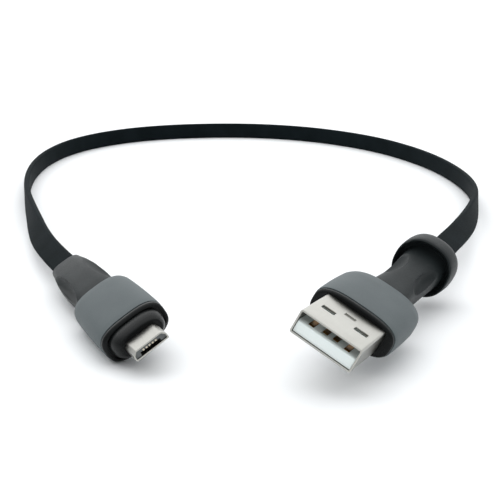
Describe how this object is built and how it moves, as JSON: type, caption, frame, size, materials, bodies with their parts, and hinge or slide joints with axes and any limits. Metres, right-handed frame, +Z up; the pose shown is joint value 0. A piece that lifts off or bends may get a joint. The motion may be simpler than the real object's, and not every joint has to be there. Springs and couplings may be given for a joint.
{
  "type": "charging cable",
  "caption": "Flat black ribbon cable in a loop, with a USB-A plug at one end and a micro-USB B plug at the other, both in grey sleeves with dark strain reliefs.",
  "frame": {"origin": "on the table, under the middle of the box that holds the two plugs and their strain reliefs, without the ribbon", "axes": "+X from the micro-USB plug to the USB-A plug, -Y the way both plugs point, +Z up from the table"},
  "size_m": [0.134, 0.2665, 0.0144],
  "materials": {
    "plug_steel": "bright nickel-plated steel, lightly worn",
    "spring_steel": "satin spring steel",
    "gold_contact": "gold-plated contact metal",
    "white_insulator": "white moulded plastic, slightly glossy",
    "grey_insulator": "dark grey moulded plastic",
    "inner_mould": "milky polyethylene",
    "black_mould": "satin black moulded plastic",
    "grey_sleeve": "satin cool grey moulded plastic with a fine grain",
    "dark_relief": "dark grey flexible moulding",
    "ribbon_jacket": "near-black flexible jacket with a dull sheen",
    "wire_red": "red wire insulation",
    "wire_white": "white wire insulation",
    "wire_green": "green wire insulation",
    "wire_black": "black wire insulation"
  },
  "bodies": {
    "cable": {"cable_ribbon": "ribbon_jacket", "micro_b_contact_data_minus": "gold_contact", "micro_b_contact_data_plus": "gold_contact", "micro_b_contact_ground": "gold_contact", "micro_b_contact_id": "gold_contact", "micro_b_contact_vbus": "gold_contact", "micro_b_inner_mould": "inner_mould", "micro_b_insulator": "grey_insulator", "micro_b_nose": "black_mould", "micro_b_shell": "plug_steel", "micro_b_sleeve": "grey_sleeve", "micro_b_strain_relief": "dark_relief", "micro_b_wire_black": "wire_black", "micro_b_wire_green": "wire_green", "micro_b_wire_red": "wire_red", "micro_b_wire_white": "wire_white", "usb_a_bezel": "black_mould", "usb_a_contact_data_minus": "gold_contact", "usb_a_contact_data_plus": "gold_contact", "usb_a_contact_ground": "gold_contact", "usb_a_contact_vbus": "gold_contact", "usb_a_inner_mould": "inner_mould", "usb_a_insulator": "white_insulator", "usb_a_shell": "plug_steel", "usb_a_sleeve": "grey_sleeve", "usb_a_strain_relief": "dark_relief", "usb_a_wire_black": "wire_black", "usb_a_wire_green": "wire_green", "usb_a_wire_red": "wire_red", "usb_a_wire_white": "wire_white"},
    "latch_left": {"micro_b_latch_left": "spring_steel"},
    "latch_right": {"micro_b_latch_right": "spring_steel"}
  },
  "joints": [
    {"name": "latch_left_press", "type": "hinge", "parent": "cable", "child": "latch_left", "pos_m": [-0.02081, -0.01673, 0.00377], "axis": [-0.7786, -0.3385, -0.5284], "range_deg": [0, 4.5], "stiffness_Nm_per_rad": 0.06},
    {"name": "latch_right_press", "type": "hinge", "parent": "cable", "child": "latch_right", "pos_m": [-0.01669, -0.01493, 0.00657], "axis": [-0.7786, -0.3385, -0.5284], "range_deg": [0, 4.5], "stiffness_Nm_per_rad": 0.06}
  ]
}
